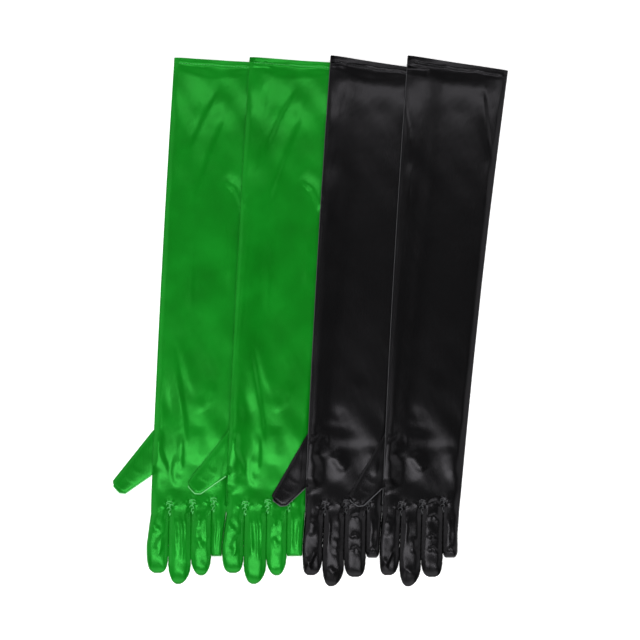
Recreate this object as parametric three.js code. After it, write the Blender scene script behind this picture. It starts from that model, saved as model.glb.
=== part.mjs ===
// Two pairs of opera gloves in stretch satin, one green and one black, laid flat with the fingers
// towards -Y. Each glove overlaps the one on its left, and its thumb lies on that glove's hand.
//
// A glove is sewn from a back panel, a palm panel, a folded thumb and three fourchettes, which are
// the strips that make the side walls between the fingers. The panels are divided at the knuckles
// and at the thumb's root seam, where the digits fold. Millimetres, +Z up.
import * as THREE from "three";

// ---- Driving dimensions: the glove's pattern ----
const ARM_LENGTH = 489; // knuckle line to cuff edge, on the centre line
const HAND_WIDTH = 85.4; // flat width at the knuckles
const CUFF_WIDTH = 110.6; // flat width at the open end
const EDGE_DRIFT = 28; // how far the thumb-side edge moves to +X between knuckles and cuff
const CLOTH = 0.8; // one layer of satin, with the loft of its seams
const HEM_FOLD = 0.5; // extra thickness where the hem is turned in
const HEM_STEP = 0.8; // length over which the hem's second layer begins
const HOLLOW = 5.4; // free height inside the arm and hand
const THUMB_HOLLOW = 4.6; // free height inside the thumb
const EDGE_TAPER = 18; // width over which the hollow closes towards a side seam
const KNUCKLE_TAPER = 8; // the same at the knuckles
const KNUCKLE_RISE = 0.081; // slope of the knuckle line, which is higher at the little finger

// ---- Clearances ----
const SEAM_GAP = 0.3; // between two layers that are sewn together
const FOLD_GAP = 0.4; // between a digit and the hand, at the fold
const REST_GAP = 0.5; // between a glove and the glove it lies on
const SPREAD = 4; // a resting glove clears the one below it this far to either side
const FALL = 10; // width over which a resting glove comes down to the table
const SIDE_GAP = 0.6; // between a glove's fingers and the next glove's
const CROTCH_GAP = 1; // between the roots of two fingers
const FINGER_GAP = 1.1; // between two fingers where they are widest

// ---- Fingers ----
const FINGER_SHOULDER = 0.55; // share of the half width where the back of a finger turns down
const FOURCHETTE_CLOTH = 0.7;
const FOURCHETTE_HEIGHT = 3.4;
const FOURCHETTE_INSET = 0.2; // from the finger's edge to the fourchette's outer face
const FOURCHETTE_CROTCH = 1.6; // how far the fourchette's turn reaches into the hand
const TIP_LENGTH = 20; // length over which a pointed finger tip narrows
const BLUNT_LENGTH = 5; // the same for the blunt little finger
const TIP_WIDTH = 3; // the least width of a tip
const BELLY_AT = 0.55; // share of a finger's length where it is widest
const ROOT_PART = 0.2; // share of a finger's length that its first row of faces takes

// ---- Thumb ----
const THUMB_LENGTH = 53;
const THUMB_TIP_WIDTH = 19.4;
const THUMB_TIP_CHAMFER = 4; // length of the cut-off corners at the tip
const THUMB_OPENING_FADE = 12; // length over which the side seam opens into the thumb

// ---- Overlap between neighbours ----
const FLAT_ZONE = 14; // above the knuckles, the hands lie side by side on the table up to here
const LAP_ZONE = 28; // and overlap fully from here
const TUCK_FADE = 60; // length over which a tucked side comes out to full width

// Each pair's own cut and pose. The knuckle line is knuckleDrop below the glove's own origin, on
// the centre line. A finger has its share of the hand's width at its root, its greatest width and
// its length; the little finger's width is the glove's, below. The splay is the middle finger's,
// in degrees.
const GREEN = {
  colour: 0x178a1f,
  cuffSlope: 0.064,
  knuckleDrop: 3.5,
  hem: 6,
  lean: -2.2,
  bow: -1.8,
  thumb: { low: 33, high: 82.7, angle: 46 },
  splay: -1.1,
  fingers: {
    index: { share: 0.238, widest: 23.4, length: 68.5 },
    middle: { share: 0.283, widest: 23.6, length: 82.5 },
    ring: { share: 0.262, widest: 21.4, length: 75 },
    little: { share: 0.217, length: 55.5 },
  },
};
const BLACK = {
  colour: 0x121214,
  cuffSlope: 0.149,
  knuckleDrop: 1,
  hem: 7,
  lean: 0,
  bow: -2.4,
  thumb: { low: 22, high: 81.5, angle: 55.4 },
  splay: -2.2,
  fingers: {
    index: { share: 0.25, widest: 21.4, length: 71 },
    middle: { share: 0.266, widest: 22.6, length: 85 },
    ring: { share: 0.272, widest: 23, length: 76.5 },
    little: { share: 0.212, length: 57 },
  },
};
const FINGER_NAMES = ["index", "middle", "ring", "little"];

// The row of gloves. Each rests on the one before it, with its hand this far beyond that hand.
// The little finger is squeezed by the next glove, so each glove has its own width for it.
const GLOVES = [
  { name: "green_1", style: GREEN, y: 2.6, beyond: 0, little: 10.7 },
  { name: "green_2", style: GREEN, y: 2.6, beyond: -2.4, little: 15.2 },
  { name: "black_1", style: BLACK, y: 0, beyond: 1.3, little: 13.8 },
  { name: "black_2", style: BLACK, y: 0, beyond: -0.7, little: 16 },
];

const radians = THREE.MathUtils.degToRad;
const lerp = THREE.MathUtils.lerp;
const clamp01 = (t) => THREE.MathUtils.clamp(t, 0, 1);
const smooth = (t) => THREE.MathUtils.smoothstep(t, 0, 1);

// ---- The plan of the arm and hand; y is measured from the glove's own origin ----

const knuckleY = (glove, x) => -glove.style.knuckleDrop + KNUCKLE_RISE * x;

// The shift that the arm's two edges share: the drift, the lean of this glove and its bow.
function edgeShift(glove, y) {
  const t = y / ARM_LENGTH;
  const { lean, bow } = glove.style;
  return glove.x + (EDGE_DRIFT + lean) * t + bow * 4 * t * (1 - t);
}

const thumbEdge = (glove, y) => edgeShift(glove, y) - HAND_WIDTH / 2;

// The little-finger side, before it is tucked in beside the next glove.
function freeEdge(glove, y) {
  return edgeShift(glove, y) + HAND_WIDTH / 2 + (CUFF_WIDTH - HAND_WIDTH) * (y / ARM_LENGTH);
}

// How far the hand is tucked in at the knuckles so that the next hand lies beside it.
function sideTuck(glove) {
  if (!glove.above) return 0;
  const nextEdge = thumbEdge(glove.above, LAP_ZONE) - SIDE_GAP;
  return Math.max(0, freeEdge(glove, LAP_ZONE) - nextEdge);
}

function littleEdge(glove, y) {
  const tuck = sideTuck(glove) * (1 - smooth((y - LAP_ZONE) / TUCK_FADE));
  return freeEdge(glove, y) - tuck;
}

// ---- Heights ----

// How far the thumb's opening has parted the side seam at this height of the hand, from 0 to 1.
function thumbOpening(glove, y) {
  const { low, high } = glove.style.thumb;
  const inside = Math.min(y - low, high - y) / THUMB_OPENING_FADE;
  return smooth(inside);
}

const taperAt = (y) => lerp(KNUCKLE_TAPER, EDGE_TAPER, smooth(y / FLAT_ZONE));

// The free height between the two panels.
function hollowAt(glove, x, y) {
  const fromThumb = x - thumbEdge(glove, y);
  const fromLittle = littleEdge(glove, y) - x;
  const openEdge = lerp(SEAM_GAP, THUMB_HOLLOW, thumbOpening(glove, y));
  const taper = taperAt(y);
  const thumbSide = lerp(openEdge, HOLLOW, clamp01(fromThumb / taper));
  const littleSide = lerp(SEAM_GAP, HOLLOW, clamp01(fromLittle / taper));
  return Math.min(thumbSide, littleSide);
}

// The top of a glove, or null beside it. Here worldY is in the shared frame.
function topAt(glove, x, worldY) {
  const y = worldY - glove.y;
  if (x < thumbEdge(glove, y) || x > littleEdge(glove, y)) return null;
  if (y < knuckleY(glove, x - glove.x)) return 2 * CLOTH + HOLLOW;
  return panelSupport(glove, x, y) + 2 * CLOTH + hollowAt(glove, x, y);
}

// The height that lies under a point of this glove: the glove below it, or the table at 0.
function supportAt(glove, x, y) {
  const below = glove.below;
  if (!below) return 0;
  const worldY = y + glove.y;
  const around = [-SPREAD, 0, SPREAD];
  const tops = around.flatMap((dx) => around.map((dy) => topAt(below, x + dx, worldY + dy)));
  const found = tops.filter((top) => top !== null);
  if (found.length) return Math.max(...found) + REST_GAP;
  const edge = littleEdge(below, worldY - below.y);
  const past = x - edge - SPREAD;
  if (past < 0 || past > FALL) return 0;
  const edgeTop = 2 * CLOTH + SEAM_GAP + REST_GAP;
  return edgeTop * (1 - past / FALL);
}

// The same for the panels, which lie flat on the table beside the knuckles.
function panelSupport(glove, x, y) {
  const lap = clamp01((y - FLAT_ZONE) / (LAP_ZONE - FLAT_ZONE));
  return lap > 0 ? supportAt(glove, x, y) * lap : 0;
}

// ---- Solids ----

// A closed sheet from rows of points, each { x, y, low, high }. The rows follow one another
// towards the cuff, or outwards along the thumb.
function sheetSolid(rows) {
  const across = rows[0].length;
  const along = rows.length;
  const positions = [];
  for (const side of ["low", "high"]) {
    for (const row of rows) {
      for (const p of row) positions.push(p.x, p.y, p[side]);
    }
  }
  const at = (i, j, layer) => layer * along * across + i * across + j;
  const faces = [];
  const quad = (a, b, c, d) => faces.push(a, b, c, a, c, d);
  for (let i = 0; i < along - 1; i++) {
    for (let j = 0; j < across - 1; j++) {
      quad(at(i, j, 0), at(i + 1, j, 0), at(i + 1, j + 1, 0), at(i, j + 1, 0));
      quad(at(i, j, 1), at(i, j + 1, 1), at(i + 1, j + 1, 1), at(i + 1, j, 1));
    }
    quad(at(i, 0, 0), at(i, 0, 1), at(i + 1, 0, 1), at(i + 1, 0, 0));
    quad(at(i, across - 1, 0), at(i + 1, across - 1, 0), at(i + 1, across - 1, 1), at(i, across - 1, 1));
  }
  for (let j = 0; j < across - 1; j++) {
    quad(at(0, j, 0), at(0, j + 1, 0), at(0, j + 1, 1), at(0, j, 1));
    quad(at(along - 1, j, 0), at(along - 1, j, 1), at(along - 1, j + 1, 1), at(along - 1, j + 1, 0));
  }
  const geometry = new THREE.BufferGeometry();
  geometry.setAttribute("position", new THREE.Float32BufferAttribute(positions, 3));
  geometry.setIndex(faces);
  return geometry.toNonIndexed();
}

// The two layers of a tube that lies flat: palm below, back above, as rows of points.
// Each row point is { x, y, base, hollow, fold }, where fold thickens both layers inwards.
const palmRows = (rows) =>
  rows.map((row) =>
    row.map((p) => ({ x: p.x, y: p.y, low: p.base, high: p.base + CLOTH + p.fold })),
  );
const backRows = (rows) =>
  rows.map((row) =>
    row.map((p) => {
      const inner = p.base + CLOTH + p.hollow;
      return { x: p.x, y: p.y, low: inner - p.fold, high: inner + CLOTH };
    }),
  );

// ---- Arm and hand ----

const LAP_COLUMNS = 9; // lines of points from the thumb-side edge to where the glove lies on the table
const ARM_ROWS = [14, 21, 28, 38, 48, 60, 72, 84];
const LONG_ROWS = [0.22, 0.33, 0.5, 0.66, 0.83]; // the same further up, as shares of the arm's length

// Where this glove is down on the table again, beyond the little-finger side of the one below it.
function lapEnd(glove, y) {
  const { below } = glove;
  const flat = thumbEdge(glove, y) + taperAt(y);
  if (!below) return flat;
  return Math.max(flat, littleEdge(below, y + glove.y - below.y) + SPREAD + FALL);
}

function armRows(glove) {
  const { cuffSlope, hem } = glove.style;
  const cuffRows = [
    ARM_LENGTH - 2 * hem,
    ARM_LENGTH - hem - HEM_STEP,
    ARM_LENGTH - hem,
    ARM_LENGTH,
  ];
  const longRows = LONG_ROWS.map((share) => share * ARM_LENGTH);
  const stations = ["knuckles", ...ARM_ROWS, ...longRows, ...cuffRows];
  return stations.map((station) => {
    const atKnuckles = station === "knuckles";
    const middle = atKnuckles ? 0 : station;
    const left = thumbEdge(glove, middle);
    const right = littleEdge(glove, middle);
    const flatFrom = lapEnd(glove, middle);
    const lapShares = Array.from({ length: LAP_COLUMNS }, (_, j) => j / (LAP_COLUMNS - 1));
    const xs = [
      ...lapShares.map((share) => lerp(left, flatFrom, share)),
      right - taperAt(middle),
      right - taperAt(middle) / 2,
      right,
    ];
    const slant = middle > ARM_LENGTH / 2 ? smooth(2 * (middle / ARM_LENGTH) - 1) * cuffSlope : 0;
    return xs.map((x) => {
      const fromMiddle = x - (left + right) / 2;
      const y = atKnuckles ? knuckleY(glove, x - glove.x) + FOLD_GAP / 2 : middle - slant * fromMiddle;
      const base = atKnuckles ? 0 : panelSupport(glove, x, y);
      const hollow = hollowAt(glove, x, middle);
      const fold = middle >= ARM_LENGTH - hem ? HEM_FOLD * clamp01(hollow - SEAM_GAP) : 0;
      return { x, y, base, hollow, fold };
    });
  });
}

// ---- Fingers ----

// The plan of a glove's fingers: for each, the middle and half width of its root, and the same
// where it is widest. There they lie side by side, to both sides of the middle finger.
function fingerPlans(glove) {
  const { fingers, splay } = glove.style;
  const room = HAND_WIDTH - 3 * CROTCH_GAP;
  const plans = {};
  let left = -HAND_WIDTH / 2;
  for (const name of FINGER_NAMES) {
    const tuck = name === "little" ? sideTuck(glove) : 0;
    const width = room * fingers[name].share - tuck;
    const widest = name === "little" ? glove.little : fingers[name].widest;
    plans[name] = { root: left + width / 2, rootHalf: width / 2, half: widest / 2 };
    left += width + CROTCH_GAP;
  }
  const { index, middle, ring, little } = plans;
  middle.belly = middle.root + Math.sin(radians(splay)) * BELLY_AT * fingers.middle.length;
  index.belly = middle.belly - middle.half - FINGER_GAP - index.half;
  ring.belly = middle.belly + middle.half + FINGER_GAP + ring.half;
  little.belly = ring.belly + ring.half + FINGER_GAP + little.half;
  return plans;
}

// A glove lies where both its hand and its fingers have room beside those of the one before it.
GLOVES.forEach((glove, i) => {
  const below = GLOVES[i - 1];
  glove.x = 0;
  if (!below) return;
  glove.below = below;
  const { little } = fingerPlans(below);
  const { index } = fingerPlans(glove);
  const handStep = HAND_WIDTH + glove.beyond;
  const fingerStep = little.belly + little.half + SIDE_GAP - (index.belly - index.half);
  glove.x = below.x + Math.max(handStep, fingerStep);
});
GLOVES.forEach((glove, i) => {
  glove.above = GLOVES[i + 1];
});

// A finger's outline. t runs from 0 at the knuckle line to 1 at the tip, and s from -1 to 1 across.
// The middle line runs outwards to where the finger is widest, and straight from there.
function fingerShape(glove, name) {
  const { length } = glove.style.fingers[name];
  const plan = fingerPlans(glove)[name];
  const spread = plan.belly - plan.root;
  const blunt = name === "little";
  const tipShare = (blunt ? BLUNT_LENGTH : TIP_LENGTH) / length;
  const power = blunt ? 6 : 2;
  const fade = blunt ? 0.25 : 0.6;
  const halfWidth = (t) => {
    const body = lerp(plan.rootHalf, plan.half, clamp01(t / BELLY_AT));
    const q = clamp01((t - 1 + tipShare) / tipShare);
    return Math.max(TIP_WIDTH / 2, body * Math.pow(1 - Math.pow(q, power), fade));
  };
  const point = (t, s) => {
    const outwards = clamp01(t / BELLY_AT);
    const tilt = t < BELLY_AT ? lerp(KNUCKLE_RISE, spread / (BELLY_AT * length), outwards) : 0;
    const reach = s * halfWidth(t);
    return {
      x: glove.x + plan.root + spread * outwards + reach,
      y: knuckleY(glove, plan.root) - FOLD_GAP / 2 - t * length + tilt * reach,
    };
  };
  return { point, tipShare, halfWidth };
}

// The sides of a finger: true where a fourchette stands, false where back meets palm.
const fourchetteSides = (name) => ({ left: name !== "index", right: name !== "little" });

function fingerRows(glove, name) {
  const shape = fingerShape(glove, name);
  const walls = fourchetteSides(name);
  const wallHollow = FOURCHETTE_HEIGHT + 2 * SEAM_GAP;
  const shoulder = 1 - shape.tipShare;
  const tip = [1, lerp(shoulder, 1, 0.8), lerp(shoulder, 1, 0.5)];
  return [...tip, shoulder, BELLY_AT, ROOT_PART, 0].map((t) => {
    const closing = 1 - Math.pow(clamp01((t - shoulder) / (1 - shoulder)), 2);
    return [-1, -FINGER_SHOULDER, FINGER_SHOULDER, 1].map((s) => {
      const wall = s < 0 ? walls.left : walls.right;
      const atEdge = Math.abs(s) === 1;
      const open = atEdge ? (wall ? wallHollow : SEAM_GAP) : HOLLOW;
      return { ...shape.point(t, s), base: 0, hollow: lerp(SEAM_GAP, open, closing), fold: 0 };
    });
  });
}

// A strip that runs down the inner side of one finger, round the crotch, and up the next.
function fourchetteGeometry(glove, name, next) {
  const steps = [0.04, 0.2, 0.4, 0.55, 0.7];
  const inner = FOURCHETTE_INSET + FOURCHETTE_CLOTH;
  const leg = (shape, side, inset) =>
    steps.map((t) => shape.point(t, side * (1 - inset / shape.halfWidth(t))));
  const a = fingerShape(glove, name);
  const b = fingerShape(glove, next);
  const turn = (shape, side, inset, rise) => {
    const p = shape.point(0, side * (1 - inset / shape.halfWidth(0)));
    return { x: p.x, y: p.y + rise };
  };
  const outline = [
    turn(a, 1, inner, FOURCHETTE_CROTCH),
    ...leg(a, 1, inner),
    ...leg(a, 1, FOURCHETTE_INSET).reverse(),
    turn(a, 1, FOURCHETTE_INSET, FOURCHETTE_CROTCH - FOURCHETTE_CLOTH),
    turn(b, -1, FOURCHETTE_INSET, FOURCHETTE_CROTCH - FOURCHETTE_CLOTH),
    ...leg(b, -1, FOURCHETTE_INSET),
    ...leg(b, -1, inner).reverse(),
    turn(b, -1, inner, FOURCHETTE_CROTCH),
  ];
  const shape = new THREE.Shape(outline.map((p) => new THREE.Vector2(p.x, p.y)));
  const geometry = new THREE.ExtrudeGeometry(shape, { depth: FOURCHETTE_HEIGHT, bevelEnabled: false });
  return geometry.translate(0, 0, CLOTH + SEAM_GAP);
}

// ---- Thumb ----

// Rows from the root, along the hand's edge, to the cut-off tip.
function thumbRows(glove) {
  const { low, high, angle } = glove.style.thumb;
  const heading = radians(angle);
  const rootLow = { x: thumbEdge(glove, low) - FOLD_GAP, y: low };
  const rootHigh = { x: thumbEdge(glove, high) - FOLD_GAP, y: high };
  const middle = { x: (rootLow.x + rootHigh.x) / 2, y: (low + high) / 2 };
  const tipAt = (length, width, side) => ({
    x: middle.x - Math.cos(heading) * length - side * Math.sin(heading) * (width / 2),
    y: middle.y - Math.sin(heading) * length + side * Math.cos(heading) * (width / 2),
  });
  const tipHigh = tipAt(THUMB_LENGTH, THUMB_TIP_WIDTH, 1);
  const tipLow = tipAt(THUMB_LENGTH, THUMB_TIP_WIDTH, -1);
  const mix = (a, b, t) => ({ x: lerp(a.x, b.x, t), y: lerp(a.y, b.y, t) });
  const ends = [0, 0.12, 0.24, 0.4, 0.6, 0.8, 1].map((t) => ({
    t,
    low: mix(rootLow, tipLow, t),
    high: mix(rootHigh, tipHigh, t),
  }));
  const chamfer = THUMB_LENGTH + THUMB_TIP_CHAMFER;
  ends.push({
    t: 1 + THUMB_TIP_CHAMFER / THUMB_LENGTH,
    low: tipAt(chamfer, THUMB_TIP_WIDTH / 2, -1),
    high: tipAt(chamfer, THUMB_TIP_WIDTH / 2, 1),
  });
  return ends.map((end, i) => {
    const closing = i === ends.length - 1 ? 0 : 1;
    return [0, 0.2, 0.4, 0.6, 0.8, 1].map((s) => {
      const p = mix(end.low, end.high, s);
      const atEdge = s === 0 || s === 1;
      const hollow = atEdge ? SEAM_GAP : lerp(SEAM_GAP, THUMB_HOLLOW, closing);
      return { ...p, base: supportAt(glove, p.x, p.y), hollow, fold: 0 };
    });
  });
}

// ---- Fold lines, for the joints ----

// The fingers fold about the knuckle line, and the thumb about its root seam, at the top of the
// cloth, so that they rise clear of the hand.
function foldLines(glove) {
  const lines = {};
  const knuckles = new THREE.Vector3(-1, -KNUCKLE_RISE, 0).normalize();
  for (const name of FINGER_NAMES) {
    const { x, y } = fingerShape(glove, name).point(0, 0);
    const point = new THREE.Vector3(x, y + FOLD_GAP / 2 + glove.y, 2 * CLOTH + HOLLOW + SEAM_GAP);
    lines[name] = { point, axis: knuckles };
  }
  const { low, high } = glove.style.thumb;
  const root = thumbRows(glove)[0];
  const start = new THREE.Vector3(thumbEdge(glove, low) - FOLD_GAP / 2, low + glove.y, 0);
  const end = new THREE.Vector3(thumbEdge(glove, high) - FOLD_GAP / 2, high + glove.y, 0);
  const top = Math.max(...root.map((p) => p.base + 2 * CLOTH + p.hollow)) + SEAM_GAP;
  const point = start.clone().lerp(end, 0.5).setZ(top);
  lines.thumb = { point, axis: end.sub(start).normalize() };
  return lines;
}

// ---- Assembly ----

function gloveGroup(glove) {
  const satin = new THREE.MeshStandardMaterial({
    color: glove.style.colour,
    roughness: 0.38,
    metalness: 0,
    name: glove.name.startsWith("green") ? "green_satin" : "black_satin",
  });
  const group = new THREE.Group();
  group.position.y = glove.y;
  const add = (name, geometry) => {
    const mesh = new THREE.Mesh(geometry, satin);
    mesh.name = `${glove.name}_${name}`;
    group.add(mesh);
  };
  const addTube = (backName, palmName, rows) => {
    add(backName, sheetSolid(backRows(rows)));
    add(palmName, sheetSolid(palmRows(rows)));
  };
  addTube("back_panel", "palm_panel", armRows(glove));
  for (const name of FINGER_NAMES) addTube(`${name}_back`, `${name}_palm`, fingerRows(glove, name));
  addTube("thumb_back", "thumb_palm", thumbRows(glove));
  for (let i = 0; i < FINGER_NAMES.length - 1; i++) {
    const [name, next] = [FINGER_NAMES[i], FINGER_NAMES[i + 1]];
    add(`fourchette_${name}_${next}`, fourchetteGeometry(glove, name, next));
  }
  return group;
}

const gloves = new THREE.Group();
gloves.userData.foldLines = {};
for (const glove of GLOVES) {
  gloves.add(gloveGroup(glove));
  gloves.userData.foldLines[glove.name] = foldLines(glove);
}

// The origin is under the middle of the whole layout, on the table.
gloves.updateMatrixWorld(true);
const box = new THREE.Box3().setFromObject(gloves, true);
const middle = box.getCenter(new THREE.Vector3());
gloves.position.set(-middle.x, -middle.y, 0);
gloves.userData.foldShift = gloves.position.clone();

export default gloves;
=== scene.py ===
import math

import bpy
import numpy as np
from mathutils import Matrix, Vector


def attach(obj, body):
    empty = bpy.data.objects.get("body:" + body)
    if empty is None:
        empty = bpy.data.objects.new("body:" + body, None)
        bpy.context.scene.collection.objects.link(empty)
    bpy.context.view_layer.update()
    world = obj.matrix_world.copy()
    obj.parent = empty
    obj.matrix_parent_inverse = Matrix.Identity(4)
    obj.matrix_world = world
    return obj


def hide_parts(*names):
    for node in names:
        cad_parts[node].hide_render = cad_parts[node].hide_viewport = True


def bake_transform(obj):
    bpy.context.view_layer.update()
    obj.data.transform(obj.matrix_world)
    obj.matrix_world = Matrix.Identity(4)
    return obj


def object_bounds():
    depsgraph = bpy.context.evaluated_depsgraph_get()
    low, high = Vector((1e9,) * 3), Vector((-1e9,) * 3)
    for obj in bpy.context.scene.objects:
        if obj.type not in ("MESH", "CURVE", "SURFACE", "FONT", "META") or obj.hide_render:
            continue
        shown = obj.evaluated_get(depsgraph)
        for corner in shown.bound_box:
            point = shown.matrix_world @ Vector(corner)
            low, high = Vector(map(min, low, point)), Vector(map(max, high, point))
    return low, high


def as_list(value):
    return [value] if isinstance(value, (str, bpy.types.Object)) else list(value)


# Two pairs of satin opera gloves, laid flat in a row. Lengths are in millimetres until a mesh is
# made. Outlines come from the CAD nodes, so each glove lies where its solids do.

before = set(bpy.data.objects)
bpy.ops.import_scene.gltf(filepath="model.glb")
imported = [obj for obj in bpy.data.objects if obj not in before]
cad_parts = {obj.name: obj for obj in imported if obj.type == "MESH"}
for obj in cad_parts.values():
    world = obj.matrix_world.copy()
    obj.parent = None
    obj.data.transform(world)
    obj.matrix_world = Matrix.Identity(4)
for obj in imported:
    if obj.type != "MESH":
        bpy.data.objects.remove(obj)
CAD_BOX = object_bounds()

MM = 0.001  # one millimetre in metres
GLOVES = ["green_1", "green_2", "black_1", "black_2"]
FINGERS = ["index", "middle", "ring", "little"]
COLUMNS = {"index": 17, "middle": 19, "ring": 18, "little": 14}  # cloth cells across each finger

CLOTH = 0.35  # thickness of the satin
LAYER_GAP = 0.4  # between a glove and the one it lies on
NEXT_PRESS = 0.15  # how far a little finger presses into the next glove's index finger
NEXT_REACH = 3.2  # the most that a hand spreads to meet the next glove
FINGER_FILL = 0.74  # how far a finger swells towards the next one
DRAPE = 9  # how far a glove bridges the edge of the one below, to either side
FLAT_ZONE = 14  # above the knuckles, the hands lie side by side up to here
LAP_ZONE = 28  # and overlap fully from here
ARM_HEIGHT = 4.0  # of the back above what the glove lies on
HAND_HEIGHT = 5.2
FINGER_HEIGHT = 6.2
PALM_SINK = 1.6  # how far the empty hand sinks between the wrist and the knuckles
THUMB_HEIGHT = 2.3
THUMB_TILT = 2.6  # how far its lower edge stands off what it lies on
SEAM_HEIGHT = 1.9  # of the side seams above what they lie on
EDGE_ROUND = 9  # width over which the back rises from a side seam
THUMB_BEND = 12  # length over which the thumb bends away from the hand
FINGER_BEND = 13  # length over which a finger bends away from the hand
THUMB_GAPE = 2.2  # how far the side seam parts where the thumb comes out
THUMB_OPENING_FADE = 12  # length over which it parts
HEM = {"green": 5.6, "black": 6.4}  # width of the turned-in edge of the cuff
HEM_RAISE = 0.45  # height of its step


def smooth(t):
    t = np.clip(t, 0, 1)
    return t * t * (3 - 2 * t)


def mix(a, b, t):
    return a + (b - a) * t


def unit(vectors):
    return vectors / np.maximum(np.linalg.norm(vectors, axis=-1, keepdims=True), 1e-9)


def distances(points):
    """The length along a line of points up to each point."""
    return np.concatenate([[0], np.cumsum(np.linalg.norm(np.diff(points, axis=0), axis=1))])


def add_object(name, data):
    made = bpy.data.objects.new(name, data)
    bpy.context.scene.collection.objects.link(made)
    return made


# ---- Outlines of the CAD nodes ----


def plan_edges(node):
    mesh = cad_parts[node].data
    points = np.array([v.co for v in mesh.vertices]) / MM
    ends = np.array([e.vertices for e in mesh.edges])
    return points[ends[:, 0]], points[ends[:, 1]]


def plan_points(node):
    return np.array([v.co[:2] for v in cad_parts[node].data.vertices]) / MM


def hull(points):
    """The corners of the convex outline of a plan, counterclockwise."""
    points = sorted(set(map(tuple, np.round(points, 2))))
    chains = []
    for line in (points, points[::-1]):
        chain = []
        for p in line:
            while len(chain) > 1:
                (ax, ay), (bx, by) = chain[-2:]
                if (bx - ax) * (p[1] - ay) - (by - ay) * (p[0] - ax) > 0.5:
                    break
                chain.pop()
            chain.append(p)
        chains += chain[:-1]
    return np.array(chains)


def extreme(points, x, y):
    """The point of a plan that lies furthest towards (x, y)."""
    return points[np.argmax(points @ np.array([x, y], float))]


def side_line(node, low, high, side, step=1.0):
    """The line y -> x along the left (side -1) or right (side 1) of a node's plan."""
    a, b = plan_edges(node)
    ys = np.linspace(low + 0.02, high - 0.02, max(int((high - low) / step), 2))
    xs = []
    for y in ys:
        crossing = (a[:, 1] - y) * (b[:, 1] - y) < 0
        p, q = a[crossing], b[crossing]
        x = p[:, 0] + (q[:, 0] - p[:, 0]) * (y - p[:, 1]) / (q[:, 1] - p[:, 1])
        xs.append(side * (side * x).max())
    return lambda y: np.interp(y, ys, xs)


# ---- The height of what a glove lies on, kept on a grid of 1 mm cells ----

GROUND_MARGIN = 20
GROUND_LOW = np.floor(np.array(CAD_BOX[0][:2]) / MM) - GROUND_MARGIN
GROUND_HIGH = np.ceil(np.array(CAD_BOX[1][:2]) / MM) + GROUND_MARGIN
GROUND_SHAPE = (GROUND_HIGH - GROUND_LOW).astype(int)[::-1] + 1
ground = np.zeros(GROUND_SHAPE)


def refined(grid, times=4):
    """A grid of points with more points between them, for filling cells."""
    for axis in (0, 1):
        n = grid.shape[axis]
        at = np.linspace(0, n - 1, (n - 1) * times + 1)
        low = np.minimum(at.astype(int), n - 2)
        share = (at - low).reshape((-1, 1, 1) if axis == 0 else (1, -1, 1))
        grid = mix(np.take(grid, low, axis), np.take(grid, low + 1, axis), share)
    return grid


def lay_on_ground(grid):
    """Raises the ground to a piece of cloth, for the gloves that will lie on it."""
    points = refined(grid).reshape(-1, 3)
    cell = np.rint(points[:, :2] - GROUND_LOW).astype(int)
    np.maximum.at(ground, (cell[:, 1], cell[:, 0]), points[:, 2])


def spread(field, radius):
    """Each cell takes the highest value within radius cells along X and Y."""
    out = field.copy()
    for axis in (0, 1):
        source = out.copy()
        for shift in range(-radius, radius + 1):
            out = np.maximum(out, np.roll(source, shift, axis))
    return out


def blur(field, width):
    reach = int(3 * width)
    weights = np.exp(-0.5 * (np.arange(-reach, reach + 1) / width) ** 2)
    weights /= weights.sum()
    for axis in (0, 1):
        field = sum(w * np.roll(field, k - reach, axis) for k, w in enumerate(weights))
    return field


def sample(field, x, y):
    fx = np.clip(x - GROUND_LOW[0], 0, field.shape[1] - 1.001)
    fy = np.clip(y - GROUND_LOW[1], 0, field.shape[0] - 1.001)
    ix, iy = fx.astype(int), fy.astype(int)
    tx, ty = fx - ix, fy - iy
    low = mix(field[iy, ix], field[iy, ix + 1], tx)
    high = mix(field[iy + 1, ix], field[iy + 1, ix + 1], tx)
    return mix(low, high, ty)


# ---- Creases and unevenness of the cloth ----


def unevenness(x, y, size, seed):
    """Smooth waves from -1 to 1, about size mm across, the same each time for one seed."""
    random = np.random.default_rng(seed)
    total = np.zeros_like(x)
    for _ in range(7):
        angle, phase = random.uniform(0, 2 * math.pi, 2)
        pitch = size * random.uniform(0.7, 1.6)
        along = x * math.cos(angle) + y * math.sin(angle)
        total += np.sin(2 * math.pi * along / pitch + phase)
    return total / 3.5


def crease(x, y, points, width, height, lean=0.0):
    """A fold along a line of points. lean from -1 to 1 makes one flank steeper than the other."""
    points = np.array(points, float)
    lengths = np.linalg.norm(np.diff(points, axis=0), axis=1)
    starts = np.concatenate([[0], np.cumsum(lengths)])
    best = np.full(x.shape, 1e9)
    side = np.zeros(x.shape)
    along = np.zeros(x.shape)
    for i, (p, q) in enumerate(zip(points, points[1:])):
        d = (q - p) / lengths[i]
        t = np.clip((x - p[0]) * d[0] + (y - p[1]) * d[1], 0, lengths[i])
        dx, dy = x - p[0] - t * d[0], y - p[1] - t * d[1]
        away = np.hypot(dx, dy)
        nearer = away < best
        best = np.where(nearer, away, best)
        side = np.where(nearer, dx * d[1] - dy * d[0], side)
        along = np.where(nearer, starts[i] + t, along)
    fade = 0.3 * starts[-1]
    ends = smooth(along / fade) * smooth((starts[-1] - along) / fade)
    flank = width * (1 + lean * np.tanh(side / width))
    return height * ends * np.exp(-((best / flank) ** 2))


def dimple(x, y, at, size_x, size_y, depth, angle=0.0):
    """A round hollow with its half sizes, turned by an angle in degrees."""
    c, s = math.cos(math.radians(angle)), math.sin(math.radians(angle))
    dx, dy = x - at[0], y - at[1]
    a, b = dx * c + dy * s, -dx * s + dy * c
    return -depth * np.exp(-((a / size_x) ** 2) - ((b / size_y) ** 2))


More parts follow.
